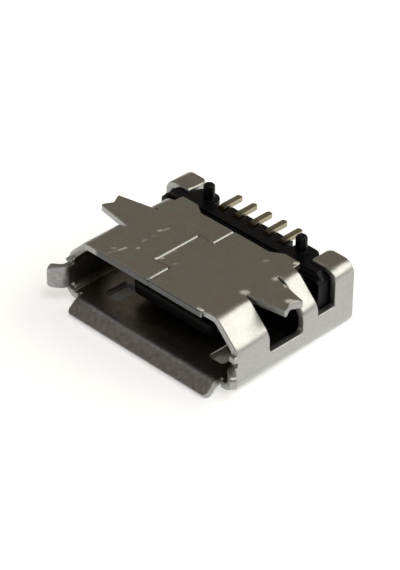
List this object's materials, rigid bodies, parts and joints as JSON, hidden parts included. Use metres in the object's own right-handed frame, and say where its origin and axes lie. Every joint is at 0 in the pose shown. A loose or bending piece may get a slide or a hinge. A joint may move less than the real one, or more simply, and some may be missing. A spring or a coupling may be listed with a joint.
{
  "type": "micro usb socket",
  "caption": "Surface-mount micro-B socket: folded sheet-metal shell with solder wings and flared mouth, moulded housing with tongue and pegs, row of gold contacts.",
  "frame": {"origin": "on the board plane, on the centre line, midway along the solder wings", "axes": "+X across the mouth, -Y out of the mouth towards the plug, +Z out of the board side, so that the socket lies on its wide face as in the picture"},
  "size_m": [0.0082, 0.006, 0.0031],
  "materials": {
    "shell_sheet": "matte nickel plate on folded sheet steel",
    "housing_plastic": "fine moulded surface, near black",
    "contact_gold": "thin gold plate on copper alloy"
  },
  "bodies": {
    "root": {"shell": "shell_sheet", "housing": "housing_plastic", "contact_1": "contact_gold", "contact_2": "contact_gold", "contact_3": "contact_gold", "contact_4": "contact_gold", "contact_5": "contact_gold"}
  },
  "joints": []
}
